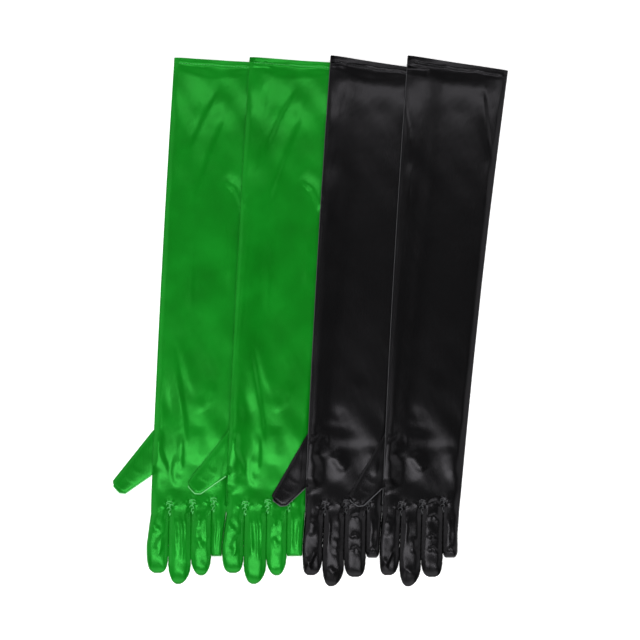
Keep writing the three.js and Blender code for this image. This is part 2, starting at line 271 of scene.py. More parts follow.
# Creases of the arm and hand, from the middle of the knuckles: the line, its width, its height
# and its lean. Both gloves of a pair were pressed alike.
ARM_CREASES = {
    "green": [
        ([(36, 470), (17, 437), (4, 408), (-6, 384)], 5.5, 1.05, 0.5),
        ([(43, 462), (34, 425), (18, 385), (6, 350), (2, 322)], 6.5, 1.2, 0.5),
        ([(12, 455), (-1, 425), (-6, 402)], 6, 0.4, 0.3),
        ([(36, 362), (46, 359), (54, 351), (60, 338), (63, 322)], 6, 1.9, -0.4),
        ([(46, 318), (47, 280), (44, 240)], 5, 0.6, -0.4),
        ([(3, 300), (4, 254), (2, 215)], 4, 0.6, 0.4),
        ([(-18, 182), (-11, 137), (-4, 93), (-2, 60)], 5, 1.3, 0.5),
        ([(-9, 190), (0, 150), (10, 120)], 6, 0.7, -0.3),
        ([(-31, 90), (-34, 66), (-26, 48), (-23, 30)], 5, 1.2, 0.4),
        ([(-7, 84), (-7, 60), (-8, 36)], 3.5, 0.9, 0.3),
        ([(12, 92), (12, 70), (9, 46)], 8, 1.0, 0.0),
        ([(-12, 60), (-15, 40), (-12, 22)], 4, 0.8, -0.3),
        ([(30, 140), (22, 118), (8, 104)], 6, 0.7, 0.3),
    ],
    "black": [
        ([(67, 468), (70, 432), (77, 383)], 4, 1.3, 0.5),
        ([(86, 455), (84, 420), (78, 385)], 3, 0.9, -0.5),
        ([(74, 383), (73, 360), (72, 330)], 4, 0.5, 0.0),
        ([(16, 440), (30, 448), (52, 444)], 9, 0.25, 0.0),
        ([(-30, 60), (-29, 42), (-35, 22)], 8, 1.3, 0.2),
        ([(-12, 62), (-2, 48), (6, 40)], 7, 1.2, -0.2),
        ([(-32, 80), (-24, 75), (-14, 76)], 6, 0.9, 0.0),
        ([(10, 10), (13, 6), (20, 9)], 3.5, 1.0, 0.0),
        ([(30, 70), (33, 50), (36, 30)], 7, 0.7, 0.0),
        ([(20, 150), (0, 118), (-10, 100)], 9, 0.8, 0.0),
    ],
}
# Hollows of the arm and hand: the middle, the half sizes, the depth and the turn.
ARM_DIMPLES = {
    "green": [
        ((-20, 108), 8, 18, 1.2, 10),
        ((-13, 22), 7, 9, 0.8, 20),
        ((20, 18), 8, 6, 0.6, 0),
        ((30, 440), 20, 12, 0.6, 30),
    ],
    "black": [
        ((-10, 28), 14, 9, 0.9, 20),
        ((-26, 57), 7, 5, 0.8, 0),
        ((8, 66), 14, 9, 0.9, 0),
        ((-8, 88), 18, 7, 0.8, -10),
        ((36, 466), 44, 8, 0.7, -8),
    ],
}
# Waves all over the arm and hand: height where the cloth is loose and where it is pressed flat,
# stretch across and along, size and seed.
ARM_WAVES = [
    (0.42, 0.1, 1, 0.6, 24, 11),
    (0.35, 0.16, 1, 0.4, 55, 12),
    (0.025, 0.025, 1.6, 1, 9, 13),
]
LOOSENED = {"green": 1.0, "black": 0.3}  # how far the pressed cloth is loose again near the cuff


# ---- The arm and hand ----

# Rows of cloth: how far the close rows of the hand, the cuff and the hem reach, and the pitches.
HAND_ROWS, HAND_PITCH = 110, 1.3
ARM_PITCH = 2.6
CUFF_ROWS, CUFF_PITCH = 100, 2.0
HEM_ROWS, HEM_PITCH = 12, 0.8

# The dent where the cloth is drawn down to a crotch: half width, half length and depth. Creases fan
# out from it: their turns in degrees, their reach across and up, their width and height.
CROTCH_DENT = (3.4, 8, 3.0)
RAY_TURNS = range(30, 151, 30)
RAY_REACH = (12, 13)
RAY_SHAPE = (1.5, 0.45)

# A shallow trough across the arm: from the cuff, its depth, and its width to either side.
TROUGH_AT, TROUGH_DEPTH, TROUGH_NEAR, TROUGH_FAR = 17, 1.1, 7, 30


class Glove:
    """One glove's outline, and the points that its panels share."""

    def __init__(self, name):
        self.name = name
        self.colour = name.split("_")[0]
        self.hand = f"{name}_hand"
        panel = f"{name}_back_panel"
        plan = plan_points(panel)
        self.knuckle_left = extreme(plan, -1, -3)
        self.knuckle_right = extreme(plan, 1, -3)
        self.cuff_left = extreme(plan, 0, 1)
        self.cuff_right = extreme(plan, 1, 0)
        self.left = side_line(panel, self.knuckle_left[1], self.cuff_left[1], -1)
        self.right = side_line(panel, self.knuckle_right[1], self.cuff_right[1], 1)
        self.neighbour = None  # the glove that lies to the right
        self.middle = (self.knuckle_left + self.knuckle_right) / 2
        self.length = self.cuff_left[1] - self.knuckle_left[1]
        roots = [plan_points(f"{name}_{finger}_back") for finger in FINGERS]
        self.crotches = [
            (extreme(a, 1, 3)[0] + extreme(b, -1, 3)[0]) / 2 for a, b in zip(roots, roots[1:])
        ]
        self.thumb_outline = hull(plan_points(f"{name}_thumb_back"))
        ends = self.thumb_outline[np.argsort(-self.thumb_outline[:, 0])[:2]]
        self.thumb_low, self.thumb_high = ends[np.argsort(ends[:, 1])]

    def left_line(self, y):
        """The left edge of the hand and of the index finger."""
        node = f"{self.name}_index_back"
        tip_y = plan_points(node)[:, 1].min()
        finger = side_line(node, tip_y, self.knuckle_left[1] - 0.5, -1)
        return np.where(y > self.knuckle_left[1], self.left(y), finger(y))

    def reach_right(self, x, y):
        """Lets the right edge of the hand and little finger meet the next glove."""
        if not self.neighbour:
            return x
        return x + np.clip(self.neighbour.left_line(y) + NEXT_PRESS - x, 0, NEXT_REACH)

    def thumb_opening(self, y):
        """How far the side seam is open at a height y on the plan, from 0 to 1."""
        inside = np.minimum(y - self.thumb_low[1], self.thumb_high[1] - y)
        return smooth(inside / THUMB_OPENING_FADE)


def row_shares(length):
    """Rows from the knuckles to the cuff, closest on the hand and at the hem."""
    steps = [
        np.arange(0, HAND_ROWS, HAND_PITCH),
        np.arange(HAND_ROWS, length - CUFF_ROWS, ARM_PITCH),
        np.arange(length - CUFF_ROWS, length - HEM_ROWS, CUFF_PITCH),
        np.arange(length - HEM_ROWS, length, HEM_PITCH),
        [length],
    ]
    return np.concatenate(steps) / length


def resting(x, y, lap=1.0):
    """The height of the cloth's underside where it drapes over what lies below."""
    held = blur(spread(ground, DRAPE), DRAPE)
    bare = sample(ground, x, y)
    on_cloth = np.where(bare > 0.5, bare + LAYER_GAP, 0)
    return np.maximum(sample(held, x, y) * lap, on_cloth)


def crotch_dents(glove, x, y):
    """Between two fingers the cloth is drawn down to the crotch, and creases fan out from it."""
    left, right = glove.knuckle_left, glove.knuckle_right
    drawn = np.zeros_like(x)
    for mark in glove.crotches:
        root_y = left[1] + (mark - left[0]) / (right[0] - left[0]) * (right[1] - left[1])
        drawn += dimple(x, y, (mark, root_y - 1), *CROTCH_DENT)
        for turn in RAY_TURNS:
            angle = math.radians(turn)
            away = RAY_REACH[0] * math.cos(angle), RAY_REACH[1] * math.sin(angle)
            drawn += crease(x, y, [(mark, root_y), (mark + away[0], root_y + away[1])], *RAY_SHAPE)
    return drawn


def arm_folds(glove, x, y):
    """The creases, hollows and waves of the arm and hand, from the middle of the knuckles."""
    folds = np.zeros_like(x)
    for points, width, height, lean in ARM_CREASES[glove.colour]:
        folds += crease(x, y, points, width, height, lean)
    for at, size_x, size_y, depth, turn in ARM_DIMPLES[glove.colour]:
        folds += dimple(x, y, at, size_x, size_y, depth, turn)
    pressed = smooth((y - 60) / 90) * (1 - LOOSENED[glove.colour] * smooth((y - 330) / 90))
    for loose, flat, across, along, size, seed in ARM_WAVES:
        folds += mix(loose, flat, pressed) * unevenness(x * across, y * along, size, seed)
    return folds


def arm_panels(glove):
    """The back and palm of the arm and hand, as grids of points from the knuckles to the cuff."""
    shares = row_shares(glove.length)[:, None]
    left_y = mix(glove.knuckle_left[1], glove.cuff_left[1], shares)
    right_y = mix(glove.knuckle_right[1], glove.cuff_right[1], shares)
    left_x, right_x = glove.left(left_y), glove.right(right_y)
    right_x = glove.reach_right(right_x, right_y)
    marks = [glove.knuckle_left[0], *glove.crotches, glove.knuckle_right[0]]
    width = marks[-1] - marks[0]
    across = [0.0]
    for finger, a, b in zip(FINGERS, marks, marks[1:]):
        cells = COLUMNS[finger]
        across += [(a - marks[0] + (b - a) * k / cells) / width for k in range(1, cells + 1)]
    across = np.array(across)[None, :]
    x, y = mix(left_x, right_x, across), mix(left_y, right_y, across)

    local_x, local_y = x - glove.middle[0], y - glove.middle[1]
    from_left, from_right = x - left_x, right_x - x
    from_cuff = (1 - shares) * glove.length
    under = resting(x, y, smooth((local_y - FLAT_ZONE) / (LAP_ZONE - FLAT_ZONE)))

    rise = np.minimum(from_left, from_right) / EDGE_ROUND
    round_top = 1 - (1 - np.clip(rise, 0, 1)) ** 2
    round_under = np.sqrt(1 - (1 - np.clip(2 * rise, 0, 1)) ** 2)
    gape = THUMB_GAPE * glove.thumb_opening(y) * (1 - smooth(from_left / 14))
    seam = under + SEAM_HEIGHT
    height = mix(HAND_HEIGHT, ARM_HEIGHT, smooth((local_y - 60) / 120))
    height = height - PALM_SINK * smooth((85 - local_y) / 60) * smooth((local_y + 4) / 26)

    # The hem is a second layer, and its row of stitches draws the cloth in.
    hem = HEM[glove.colour] + 0.35 * np.sin(local_x / 5.5) + 0.25 * np.sin(local_x / 2.7 + 1)
    turned = HEM_RAISE * smooth((hem - from_cuff) / 1.2 + 0.5)
    stitched = -0.35 * np.exp(-(((from_cuff - hem - 0.6) / 1.1) ** 2))
    beyond = from_cuff - TROUGH_AT - 4 * np.sin(local_x / 19)
    trough_width = np.where(beyond < 0, TROUGH_NEAR, TROUGH_FAR)
    folds = arm_folds(glove, local_x, local_y)
    folds -= TROUGH_DEPTH * np.exp(-((beyond / trough_width) ** 2))
    shaped = smooth(np.minimum(from_left, from_right) / 12)  # nothing moves the side seams

    top = seam + (height - SEAM_HEIGHT) * round_top + gape + (folds + stitched) * shaped + turned
    top += crotch_dents(glove, x, y) * shaped * smooth((30 - local_y) / 10)
    bottom = mix(seam, under + 0.15, round_under) - 0.25 * gape
    bottom += 0.05 * unevenness(local_x, local_y, 30, 14) * shaped
    bottom = np.maximum(bottom, under + 0.05)
    top = np.maximum(top, bottom + 0.3)
    return np.dstack([x, y, top]), np.dstack([x, y, bottom])


# ---- Fingers ----

BACK_STRIP = 0.8  # half width of the back of a finger between its fourchettes, of the whole
PALM_STRIP = 0.86
STRIP_NARROW = 12  # length from the knuckle over which the strips narrow to that
STRIP_ROUND = 15  # length from the knuckle over which a finger takes its own heights
OUTLINE_ROUND = 6  # and its own outline
SHANK_PITCH = 1.3  # between the rows of a finger
TIP_ROWS, TIP_CELLS = 7, 12  # the last length of a finger, with closer rows
BACK_RIM = 0.76  # height of the back's edge at a fourchette, of the whole
SEAM_RIM = 0.4  # height of a finger's edge at a side seam
CROWN_POWER = 4.2  # the higher, the flatter the back of a finger
FOURCHETTE_CELLS = 8  # round a fourchette, from the back to the palm
# Waves on the back of a finger: height, size and the first finger's seed.
FINGER_WAVES = [(0.36, 19, 31), (0.05, 8, 41)]
# The tip of each finger: its length, its width at places along it as a share of the finger's,
# and how far it leans to the right.
ROUND_TIP = [(0, 1), (0.3, 0.94), (0.55, 0.82), (0.75, 0.65), (0.9, 0.45), (1, 0.2)]
BLUNT_TIP = [(0, 1), (0.3, 0.97), (0.6, 0.88), (0.8, 0.75), (0.93, 0.55), (1, 0.32)]
SQUARE_TIP = [(0, 1), (0.4, 0.95), (0.8, 0.8), (1, 0.6)]
TIPS = {
    "green": {
        "index": (19, BLUNT_TIP, 0),
        "middle": (20, ROUND_TIP, -1.4),
        "ring": (19, ROUND_TIP, 0.3),
        "little": (4, [(0, 1), (0.6, 0.98), (1, 0.9)], 0),
    },
    "black": {
        "index": (20, BLUNT_TIP, -1.8),
        "middle": (21, ROUND_TIP, -2.2),
        "ring": (19, BLUNT_TIP, 0.3),
        "little": (7, SQUARE_TIP, 0),
    },
}

# Creases on the fingers: the line as (across from -1 to 1, mm from the knuckle), its width, its
# height and its lean.
FINGER_CREASES = {
    "green": {
        "index": [
            ([(-0.2, 44), (0.1, 34), (0.6, 24)], 2.6, 1.0, 0.4),
            ([(0.0, 52), (0.35, 40), (0.5, 30)], 2.2, 0.9, -0.4),
            ([(-0.7, 12), (-0.3, 20), (0.2, 18)], 3.5, 0.8, 0.0),
        ],
        "middle": [
            ([(-0.05, 4), (0.2, 20), (0.3, 44), (0.25, 62)], 1.7, 1.1, 0.5),
            ([(-0.45, 8), (-0.35, 30), (-0.3, 56)], 2.0, 0.8, -0.4),
            ([(0.65, 10), (0.62, 40), (0.5, 60)], 1.8, 0.6, 0.3),
        ],
        "ring": [
            ([(-0.5, 6), (-0.2, 14), (-0.3, 24)], 2.6, 0.8, 0.0),
            ([(-0.3, 32), (0.0, 42), (0.3, 36)], 3.4, 0.9, 0.0),
            ([(0.6, 6), (0.5, 26), (0.6, 50)], 2.0, 0.7, 0.4),
        ],
        "little": [
            ([(-0.4, 8), (-0.3, 30), (-0.4, 50)], 1.4, 0.6, 0.3),
            ([(0.3, 14), (0.35, 34), (0.3, 50)], 1.6, 0.6, -0.3),
        ],
    },
    "black": {
        "index": [
            ([(-0.4, 6), (-0.1, 16), (-0.3, 30)], 4.0, 1.0, 0.0),
            ([(0.5, 40), (0.0, 52), (-0.3, 62)], 2.0, 1.0, 0.5),
            ([(-0.5, 50), (-0.4, 60), (0.0, 66)], 2.0, 0.8, 0.0),
        ],
        "middle": [
            ([(-0.6, 4), (-0.4, 20), (-0.5, 44)], 2.0, 0.7, 0.4),
            ([(0.1, 30), (0.3, 40), (0.1, 50)], 3.4, 0.9, 0.0),
            ([(-0.4, 62), (0.0, 70), (0.4, 66)], 3.0, 0.8, 0.0),
        ],
        "ring": [
            ([(-0.6, 12), (0.1, 8), (0.5, 14)], 2.4, 1.0, 0.3),
            ([(-0.5, 34), (0.0, 30), (0.4, 34)], 2.4, 0.9, 0.0),
            ([(-0.5, 48), (0.1, 44), (0.5, 50)], 2.2, 1.0, 0.3),
        ],
        "little": [
            ([(-0.4, 10), (-0.2, 26), (-0.4, 46)], 2.6, 0.6, 0.2),
            ([(-0.5, 50), (0.1, 46), (0.5, 51)], 2.0, 0.7, 0.0),
        ],
    },
}


def finger_folds(glove, finger, x, y, depth, centre, reach):
    """The waves and creases on the back of a finger."""
    own_seed = FINGERS.index(finger) + (0 if glove.colour == "green" else len(FINGERS))
    folds = np.zeros_like(x)
    for height, size, seed in FINGER_WAVES:
        folds = folds + height * unevenness(x, y * 0.8, size, seed + own_seed)
    for points, width, height, lean in FINGER_CREASES[glove.colour][finger]:
        line = [(np.interp(d, depth[:, 0], centre[:, 0]) + a * reach, -d) for a, d in points]
        folds = folds + crease(x, -depth + 0 * x, line, width, height, lean)
    return folds


def finger_grids(glove, finger, back_root, palm_root):
    """The strips of one finger as grids of points from the knuckle to the tip: back, palm and
    the lines of its widest places between them, left and right."""
    node = f"{glove.name}_{finger}_back"
    plan = plan_points(node)
    tip_y = plan[:, 1].min()
    corner_left, corner_right = extreme(plan, -1, 3)[1], extreme(plan, 1, 3)[1]
    tip_length, shape, shift = TIPS[glove.colour][finger]
    root = back_root.mean(axis=0)
    length = root[1] - tip_y
    shank = length - TIP_ROWS
    depth = np.concatenate([
        np.linspace(0, shank, int(shank / SHANK_PITCH) + 1),
        np.linspace(shank, length, TIP_CELLS + 1)[1:],
    ])[:, None]
    y = root[1] - depth
    belly_y = np.maximum(y, tip_y + tip_length)
    left = side_line(node, tip_y, corner_left - 0.4, -1, 0.8)(belly_y)
    right = side_line(node, tip_y, corner_right - 0.4, 1, 0.8)(belly_y)
    if finger != "index":
        left = left - FINGER_FILL
    right = glove.reach_right(right, belly_y) if finger == "little" else right + FINGER_FILL
    tip = np.clip((depth - (length - tip_length)) / tip_length, 0, 1)
    places, widths = np.array(shape).T
    centre = (left + right) / 2 + shift * tip**2
    half = ((right - left) / 2 - 0.1) * np.interp(tip, places, widths)
    own = smooth(depth / STRIP_ROUND)
    outline_own = smooth(depth / OUTLINE_ROUND)

    height = np.maximum(FINGER_HEIGHT * np.sqrt(1 - 0.93 * tip**2.4), 1.2)
    tip_share = smooth((depth - length + tip_length * 0.8) / (tip_length * 0.7))
    narrow = smooth(depth / STRIP_NARROW) * (1 - tip_share)
    v = np.linspace(-1, 1, len(back_root))[None, :]

    def rim(at_fourchette):
        """The height of a strip's edge, carried across from left to right."""
        at_seam = SEAM_RIM * height
        left_edge = at_seam if finger == "index" else at_fourchette
        right_edge = at_seam if finger == "little" else at_fourchette
        return mix(left_edge, right_edge, (v + 1) / 2)

    def strip(root_row, share, is_back):
        left_share = mix(1.0, share, narrow) if finger != "index" else np.ones_like(narrow)
        right_share = mix(1.0, share, narrow) if finger != "little" else np.ones_like(narrow)
        u = mix(-left_share, right_share, (v + 1) / 2)
        tilt = (root_row[-1, 1] - root_row[0, 1]) / (root_row[-1, 0] - root_row[0, 0])
        x = centre + u * half
        row_y = y + (1 - own) * tilt * u * half
        if is_back:
            edges = rim(BACK_RIM * height)
            crown = 1 - np.abs(v) ** CROWN_POWER
            round_side = ((v < 0) & (finger == "index")) | ((v > 0) & (finger == "little"))
            crown = np.where(round_side, crown**0.55, crown)
            z = edges + (height - edges) * crown
            folds = finger_folds(glove, finger, x, y, depth, centre, half.max())
            z = z + folds * crown * smooth(height / 3) * smooth(depth / 8)
        else:
            z = 0.15 + (rim(0.12 * height + 0.1) - 0.15) * np.abs(v) ** 8
        z = np.where(depth >= length, 0.6, z)
        grid = np.dstack([x, row_y, z])
        anchored = root_row[None] + np.dstack([0 * x, -depth + 0 * v, 0 * x])
        return mix(anchored, grid, np.dstack([outline_own, own, own]))

    back = strip(back_root, BACK_STRIP, True)
    palm = strip(palm_root, PALM_STRIP, False)
    back[..., 2] = np.maximum(back[..., 2], palm[..., 2] + 0.25 * (depth < length))
    outer_left = mix(back_root[0, 0], centre - half, outline_own)[:, 0]
    outer_right = mix(back_root[-1, 0], centre + half, outline_own)[:, 0]
    return back, palm, outer_left, outer_right


def fourchette_grid(back, palm, outer, side):
    """The side wall of a finger, from its back strip round its widest place to its palm strip."""
    column = -1 if side > 0 else 0
    top, low = back[:, column], palm[:, column]
    t = np.linspace(0, 1, FOURCHETTE_CELLS + 1)[None, :, None]
    bend = (top + low) / 2
    bend[:, 0] = 2 * outer - bend[:, 0]
    wall = (1 - t) ** 2 * top[:, None] + 2 * t * (1 - t) * bend[:, None] + t**2 * low[:, None]
    puckers = 0.12 * np.sin(np.arange(len(top)) * 1.3)[:, None] * np.sin(math.pi * t[..., 0])
    fullness = np.clip(np.abs(outer - top[:, 0]) / 2, 0, 1)[:, None]
    wall[..., 0] -= side * puckers * fullness
    return wall


# ---- Thumb ----

TUCK_REACH, TUCK_ROWS = 7, 5  # how far the thumb's cloth reaches into the hand, and its rows there
TUCK_NARROW = 2.5  # how much narrower it is inside, to either side
THUMB_COLUMNS = 23


def chain_points(corners, shares):
    """Points at shares of the length of a chain of corners."""
    corners = np.array(corners)
    at = distances(corners)
    return np.stack([np.interp(shares * at[-1], at, corners[:, i]) for i in (0, 1)], axis=1)


def thumb_grids(glove):
    """The back and palm of the thumb, from inside the hand to the tip."""
    low, high = glove.thumb_low, glove.thumb_high
    start = int(np.argmin(np.linalg.norm(glove.thumb_outline - high, axis=1)))
    ring = np.roll(glove.thumb_outline, -start, axis=0)
    middle = (low + high) / 2
    farthest = np.argsort(-np.linalg.norm(ring - middle, axis=1))[:2]
    tip = ring[farthest].mean(axis=0)
    heading = (tip - middle) / np.linalg.norm(tip - middle)
    upper = [*ring[: farthest.min() + 1], tip]
    lower = [*ring[: farthest.max() - 1 : -1], tip]

    shares = np.concatenate([np.linspace(0, 0.8, 36), np.linspace(0.8, 0.985, 16)[1:]])
    highs, lows = chain_points(upper, shares), chain_points(lower, shares)
    inside = np.linspace(TUCK_REACH, 0, TUCK_ROWS + 1)[:-1, None] * np.array([[1.0, 0.0]])
    narrower = np.array([[0.0, TUCK_NARROW]]) * np.linspace(1, 0.2, TUCK_ROWS)[:, None]
    highs = np.concatenate([highs[:1] + inside - narrower, highs])
    lows = np.concatenate([lows[:1] + inside + narrower, lows])
    v = np.linspace(-1, 1, THUMB_COLUMNS)
    xy = mix(lows[:, None], highs[:, None], ((v + 1) / 2)[None, :, None])
    x, y = xy[..., 0], xy[..., 1]
    under = resting(x, y)
    away, up = (tip - xy) @ heading, (xy - tip) @ np.array([-heading[1], heading[0]])
    closing = smooth(away / 5) ** 0.5
    tucked = smooth((x - glove.left(y)) / 6)
    height = mix(1.1, THUMB_HEIGHT, closing) * (1 - 0.2 * tucked)
    crown = ((1 - np.abs(v) ** 4) ** 0.8)[None, :]
    top = under + mix(1.1, height, crown)
    folds = 0.1 * unevenness(x - middle[0], y - middle[1], 20, 51)
    for at in (19, 31):
        folds += crease(away, up, [(at, -8), (at - 2, 0), (at + 1, 9)], 2.2, 0.14, 0.3)
    top += folds * crown * closing * (1 - tucked)
    bottom = mix(under + 0.55, under + 0.15, crown)
    bottom = np.minimum(bottom, top - 0.25)
    tilt = THUMB_TILT * (1 - v) / 2 * (1 - tucked)
    top, bottom = top + tilt, bottom + tilt
    return np.dstack([x, y, top]), np.dstack([x, y, bottom]), middle


# ---- Meshes ----


def grid_normals(grid, before=None):
    """Normals of a grid, with the row before its first one where another piece carries on."""
    rows = grid if before is None else np.concatenate([before[None], grid])
    along = np.gradient(rows, axis=0)
    across = np.gradient(rows, axis=1)
    normal = unit(np.cross(across, along))
    return normal if before is None else normal[1:]


def cloth(name, grid, outward, material, before=None):
    """A piece of satin with its real thickness, from a grid of points on its outer face."""
    normal = grid_normals(grid, before)
    flip = np.sum(normal @ np.array(outward, float)) < 0
    if flip:
        normal = -normal
    rows, cols = grid.shape[:2]
    outer = grid.reshape(-1, 3)
    inner = (grid - normal * CLOTH).reshape(-1, 3)
    index = np.arange(rows * cols).reshape(rows, cols)
    a, b, c, d = index[:-1, :-1], index[1:, :-1], index[1:, 1:], index[:-1, 1:]
    face = np.stack([a, d, c, b] if not flip else [a, b, c, d], axis=-1).reshape(-1, 4)
    rim = np.concatenate([index[0, :], index[1:, -1], index[-1, -2::-1], index[-2:0:-1, 0]])
    following = np.roll(rim, -1)
    total = rows * cols
    border = np.stack([rim, following, following + total, rim + total], axis=-1)
    if not flip:
        border = border[:, ::-1]
    faces = np.concatenate([face, face[:, ::-1] + total, border])
    mesh = bpy.data.meshes.new(name)
    mesh.from_pydata((np.concatenate([outer, inner]) * MM).tolist(), [], faces.tolist())
    # The map is the cloth laid flat, in metres.
    lengthwise = distances(grid[:, cols // 2])
    crosswise = grid[..., 0] - grid[:, :1, 0]
    flat = np.dstack([crosswise + grid[:1, :1, 0], np.repeat(lengthwise[:, None], cols, 1)])
    flat = np.tile(flat.reshape(-1, 2), (2, 1)) * MM
    layer = mesh.uv_layers.new(name="cloth")
    loops = np.empty(len(mesh.loops), int)
    mesh.loops.foreach_get("vertex_index", loops)
    layer.uv.foreach_set("vector", flat[loops].astype(np.float32).ravel())
    mesh.shade_smooth()
    both = np.concatenate([normal.reshape(-1, 3), -normal.reshape(-1, 3)])
    mesh.normals_split_custom_set_from_vertices(both.tolist())
    mesh.materials.append(material)
    return add_object(name, mesh)


def tube(points, radius, sides=8):
    """Vertices and faces of a round thread or piping along a line of points, with closed ends."""
    points = np.asarray(points, float)
    tangent = unit(np.gradient(points, axis=0))
    side = unit(np.cross(tangent, [0.0, 0.0, 1.0]))
    above = np.cross(side, tangent)
    angles = np.linspace(0, 2 * math.pi, sides, endpoint=False)
    radii = np.full(len(points), radius) if np.isscalar(radius) else np.asarray(radius)
    turn_x, turn_y = np.cos(angles)[None, :, None], np.sin(angles)[None, :, None]
    ring = turn_x * side[:, None] + turn_y * above[:, None]
    vertices = (points[:, None] + ring * radii[:, None, None]).reshape(-1, 3)
    faces = []
    for i in range(len(points) - 1):
        for j in range(sides):
            k = (j + 1) % sides
            at = i * sides
            faces.append((at + j, at + sides + j, at + sides + k, at + k))
    faces.append(tuple(range(sides)))
    last = (len(points) - 1) * sides
    faces.append(tuple(last + j for j in reversed(range(sides))))
    return vertices, faces


def joined(name, parts, material):
    """One object from several (vertices, faces) parts."""
    vertices, faces, count = [], [], 0
    for points, polygons in parts:
        vertices.append(points)
        faces += [tuple(count + i for i in polygon) for polygon in polygons]
        count += len(points)
    mesh = bpy.data.meshes.new(name)
    mesh.from_pydata((np.concatenate(vertices) * MM).tolist(), [], faces)
    mesh.shade_smooth()
    mesh.materials.append(material)
    return add_object(name, mesh)


def spaced(points, pitch):
    """Points at equal distances along a line of points."""
    points = np.asarray(points, float)
    at = distances(points)
    places = np.arange(pitch / 2, at[-1], pitch)
    return np.stack([np.interp(places, at, points[:, i]) for i in range(3)], axis=1)


def stitch_row(line, pitch, length, radius, lift):
    """Short stitches of thread along a seam."""
    at = spaced(line, pitch)
    parts = []
    for point, along in zip(at, unit(np.gradient(at, axis=0))):
        run = np.linspace(-0.5, 0.5, 5)[:, None] * length * along[None]
        arch = np.array([0, 0.7, 1, 0.7, 0])[:, None] * np.array([[0, 0, lift]])
        radii = radius * np.array([0.35, 0.9, 1, 0.9, 0.35])
        parts.append(tube(point + run + arch, radii, 6))
    return parts


# ---- Materials ----


def set_inputs(node, **values):
    for key, value in values.items():
        node.inputs[key.replace("_", " ")].default_value = value


def add_node(tree, kind, at, **values):
    """A shader node with its attributes and inputs set by name."""
    made = tree.nodes.new(kind)
    made.location = at
    for key, value in values.items():
        if hasattr(made, key):
            setattr(made, key, value)
        else:
            set_inputs(made, **{key: value})
    return made


def new_material(name):
    material = bpy.data.materials.new(name)
    material.use_nodes = True
    return material, material.node_tree, material.node_tree.nodes["Principled BSDF"]


def ramp(tree, at, stops):
    """A colour ramp from (position, colour) stops."""
    made = tree.nodes.new("ShaderNodeValToRGB")
    made.location = at
    elements = made.color_ramp.elements
    while len(elements) < len(stops):
        elements.new(0.5)
    for element, (position, colour) in zip(elements, stops):
        element.position = position
        element.color = (*colour, 1)
    return made


WEAVE = (900, 2600, 1)  # floats of thread in a metre, across and along


def satin(name, dark, mid, light, roughness, gloss, gleam, flecks):
    """Stretch satin: fine floats of thread, a slightly uneven dye, and a soft coloured gleam."""
    material, tree, shader = new_material(name)
    link = tree.links.new
    place = add_node(tree, "ShaderNodeUVMap", (-1500, 0), uv_map="cloth")

    floats = add_node(tree, "ShaderNodeMapping", (-1300, 200), Scale=WEAVE)
    link(place.outputs["UV"], floats.inputs["Vector"])
    weave = add_node(tree, "ShaderNodeTexNoise", (-1100, 200), Scale=1.0, Detail=2.0, Roughness=0.6)
    link(floats.outputs["Vector"], weave.inputs["Vector"])

    body = add_node(tree, "ShaderNodeTexCoord", (-1500, -400))
    dye = add_node(tree, "ShaderNodeTexNoise", (-1100, -400), Scale=22.0, Detail=3.0, Roughness=0.5)
    link(body.outputs["Object"], dye.inputs["Vector"])
    fine = add_node(tree, "ShaderNodeMath", (-850, -200), operation="MULTIPLY_ADD")
    fine.inputs[1].default_value = 0.16
    link(weave.outputs["Fac"], fine.inputs[0])
    broad = add_node(tree, "ShaderNodeMath", (-850, -400), operation="MULTIPLY")
    broad.inputs[1].default_value = 0.84
    link(dye.outputs["Fac"], broad.inputs[0])
    link(broad.outputs[0], fine.inputs[2])
    colours = ramp(tree, (-600, -200), [(0.34, dark), (0.5, mid), (0.68, light)])
    link(fine.outputs[0], colours.inputs["Fac"])

    # Faint rows of dots, as the black gloves have.
    knots = add_node(tree, "ShaderNodeTexVoronoi", (-1100, -700), Scale=150.0, Randomness=0.25)
    link(place.outputs["UV"], knots.inputs["Vector"])
    dots = ramp(tree, (-850, -700), [(0.05, (1, 1, 1)), (0.16, (0, 0, 0))])
    link(knots.outputs["Distance"], dots.inputs["Fac"])
    faint = add_node(tree, "ShaderNodeMath", (-600, -700), operation="MULTIPLY")
    faint.inputs[1].default_value = flecks
    link(dots.outputs["Color"], faint.inputs[0])
    dotted = add_node(tree, "ShaderNodeMixRGB", (-350, -200), blend_type="ADD")
    link(faint.outputs[0], dotted.inputs["Fac"])
    link(colours.outputs["Color"], dotted.inputs["Color1"])
    dotted.inputs["Color2"].default_value = (*light, 1)
    link(dotted.outputs["Color"], shader.inputs["Base Color"])

    rough = add_node(tree, "ShaderNodeMapRange", (-600, 100))
    set_inputs(rough, To_Min=roughness - 0.05, To_Max=roughness + 0.06)
    link(weave.outputs["Fac"], rough.inputs["Value"])
    link(rough.outputs["Result"], shader.inputs["Roughness"])

    bump = add_node(tree, "ShaderNodeBump", (-350, 300), Strength=0.2, Distance=0.0001)
    link(weave.outputs["Fac"], bump.inputs["Height"])
    ripple = add_node(tree, "ShaderNodeBump", (-150, 300), Strength=0.2, Distance=0.0006)
    link(dye.outputs["Fac"], ripple.inputs["Height"])
    link(bump.outputs["Normal"], ripple.inputs["Normal"])
    link(ripple.outputs["Normal"], shader.inputs["Normal"])

    set_inputs(shader, Specular_IOR_Level=gloss, Specular_Tint=(*gleam, 1))
    return material


